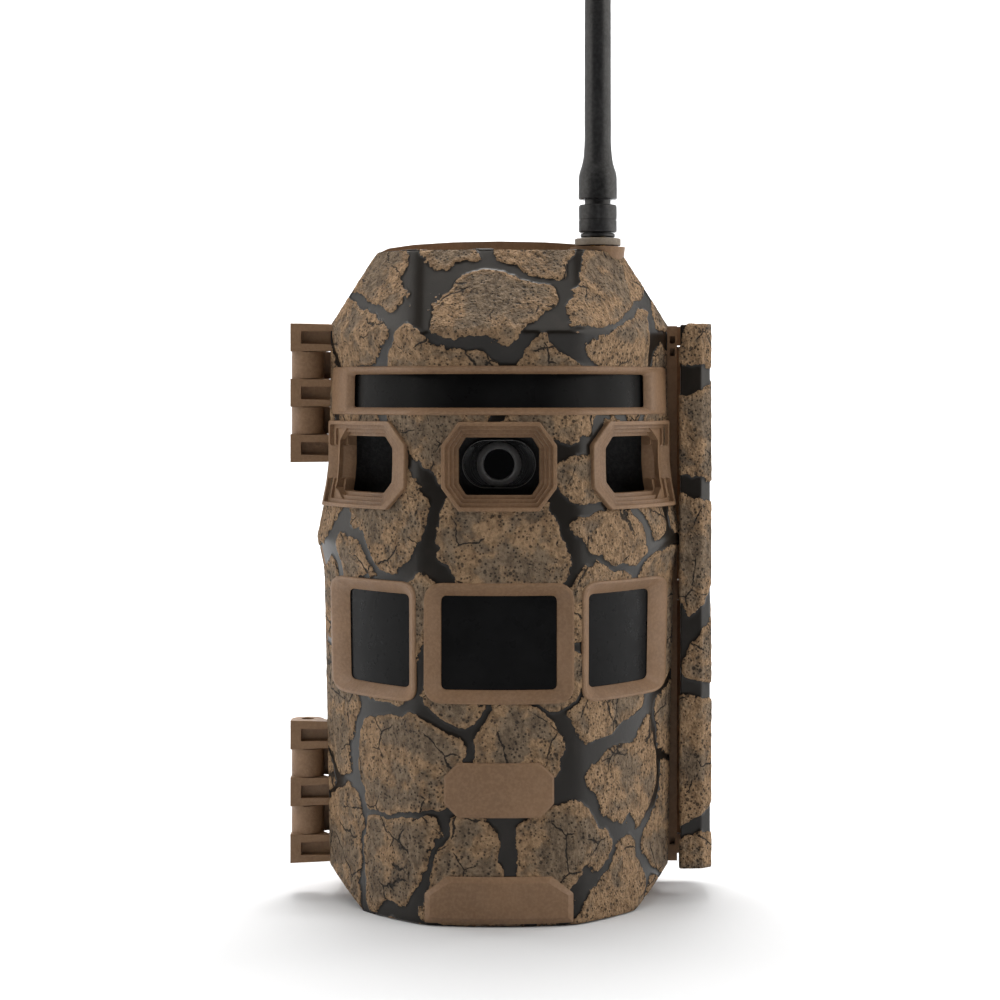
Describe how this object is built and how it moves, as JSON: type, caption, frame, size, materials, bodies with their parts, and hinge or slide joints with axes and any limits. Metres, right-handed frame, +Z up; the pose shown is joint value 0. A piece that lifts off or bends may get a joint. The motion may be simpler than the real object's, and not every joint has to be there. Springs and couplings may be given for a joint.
{
  "type": "trail camera",
  "caption": "Weatherproof outdoor camera: hinged front door with turning lens turret and motion windows, battery case, side latch, strap rails and whip antenna.",
  "frame": {"origin": "centre of the footprint on the surface that the camera stands on", "axes": "+Z up along the antenna, -Y out of the lens, +X towards the latch side"},
  "size_m": [0.1141, 0.0796, 0.335],
  "materials": {
    "camo_plastic": "moulded cracked-earth relief, tan plates with pitted faces and smooth dark grooves",
    "brown_plastic": "plain fine-grained moulded brown",
    "window_black": "satin infrared-passing black",
    "black_plastic": "satin black",
    "charcoal_plastic": "fine spark texture",
    "lens_coating": "coated glass",
    "display_glass": "glossy display cover",
    "circuit_board": "solder mask",
    "bright_steel": "plated steel",
    "brass": "turned brass",
    "soft_rubber": "moulded rubber",
    "collar_plastic": "grey-brown moulded collar",
    "key_plastic": "light grey moulded",
    "cell_wrap": "printed metallised sleeve, plain"
  },
  "bodies": {
    "case": {"rear_shell": "brown_plastic", "gasket": "soft_rubber", "battery_tray": "charcoal_plastic", "battery_cell_1": "cell_wrap", "battery_cell_2": "cell_wrap", "battery_cell_3": "cell_wrap", "battery_cell_4": "cell_wrap", "battery_cell_5": "cell_wrap", "battery_cell_6": "cell_wrap", "battery_cell_7": "cell_wrap", "battery_cell_8": "cell_wrap", "contact_lower": "bright_steel", "contact_upper": "bright_steel", "tripod_insert": "brass", "power_port_plug": "soft_rubber", "hinge_pin_upper": "bright_steel", "hinge_pin_lower": "bright_steel", "latch_pin": "bright_steel"},
    "door": {"front_shell": "camo_plastic", "inner_cover": "charcoal_plastic", "badge_plate": "brown_plastic", "emblem_pad": "brown_plastic", "ir_bezel": "brown_plastic", "ir_window": "window_black", "ir_led_board": "circuit_board", "lens_hood_centre": "brown_plastic", "lens_hood_left": "brown_plastic", "lens_hood_right": "brown_plastic", "pir_bezel_centre": "brown_plastic", "pir_bezel_left": "brown_plastic", "pir_bezel_right": "brown_plastic", "pir_window_centre": "window_black", "pir_window_left": "window_black", "pir_window_right": "window_black", "pir_sensor_centre": "bright_steel", "pir_sensor_left": "bright_steel", "pir_sensor_right": "bright_steel", "main_board": "circuit_board", "display": "display_glass", "antenna_connector": "brass", "antenna_collar": "collar_plastic", "antenna_whip": "black_plastic", "sd_socket": "bright_steel", "cover_screw_1": "bright_steel", "cover_screw_2": "bright_steel", "cover_screw_3": "bright_steel", "cover_screw_4": "bright_steel", "turret_motor": "bright_steel"},
    "latch": {"latch_cover": "camo_plastic"},
    "turret": {"lens_turret": "black_plastic", "camera_face": "black_plastic", "lens_ring": "black_plastic", "lens_glass": "lens_coating"},
    "pinion": {"turret_pinion": "key_plastic"},
    "antenna_ring": {"antenna_nut": "black_plastic"},
    "up_key": {"key_up": "key_plastic"},
    "down_key": {"key_down": "key_plastic"},
    "ok_key": {"key_ok": "key_plastic"},
    "switch": {"power_switch": "key_plastic"},
    "card": {"sd_card": "black_plastic"}
  },
  "joints": [
    {"name": "door_hinge", "type": "hinge", "parent": "case", "child": "door", "pos_m": [-0.0523, 0.006, 0.08], "axis": [0, 0, -1], "range_deg": [0, 110]},
    {"name": "latch_hinge", "type": "hinge", "parent": "case", "child": "latch", "pos_m": [0.052, 0.022, 0.08], "axis": [0, 0, 1], "range_deg": [0, 100]},
    {"name": "turret_turn", "type": "hinge", "parent": "door", "child": "turret", "pos_m": [0, -0.004, 0.1182], "axis": [0, 0, 1], "range_deg": [-60, 60]},
    {"name": "pinion_spin", "type": "hinge", "parent": "door", "child": "pinion", "pos_m": [0.00367, -0.01036, 0.102], "axis": [0, 0, 1], "range_deg": [-122, 122]},
    {"name": "antenna_ring_spin", "type": "hinge", "parent": "door", "child": "antenna_ring", "pos_m": [0.0266, -0.0043, 0.1835], "axis": [0, 0, 1], "continuous": true},
    {"name": "key_up_press", "type": "slide", "parent": "door", "child": "up_key", "axis": [0, -1, 0], "range_m": [0, 0.0009], "stiffness_N_per_m": 400, "springref_m": -0.0004},
    {"name": "key_down_press", "type": "slide", "parent": "door", "child": "down_key", "axis": [0, -1, 0], "range_m": [0, 0.0009], "stiffness_N_per_m": 400, "springref_m": -0.0004},
    {"name": "key_ok_press", "type": "slide", "parent": "door", "child": "ok_key", "axis": [0, -1, 0], "range_m": [0, 0.0009], "stiffness_N_per_m": 400, "springref_m": -0.0004},
    {"name": "power_switch_slide", "type": "slide", "parent": "door", "child": "switch", "axis": [1, 0, 0], "range_m": [0, 0.0024]},
    {"name": "sd_card_eject", "type": "slide", "parent": "door", "child": "card", "axis": [0, 1, 0], "range_m": [0, 0.0025]}
  ],
  "couplings": [
    {"joint": "pinion_spin", "follows": "turret_turn", "ratio": -2}
  ]
}
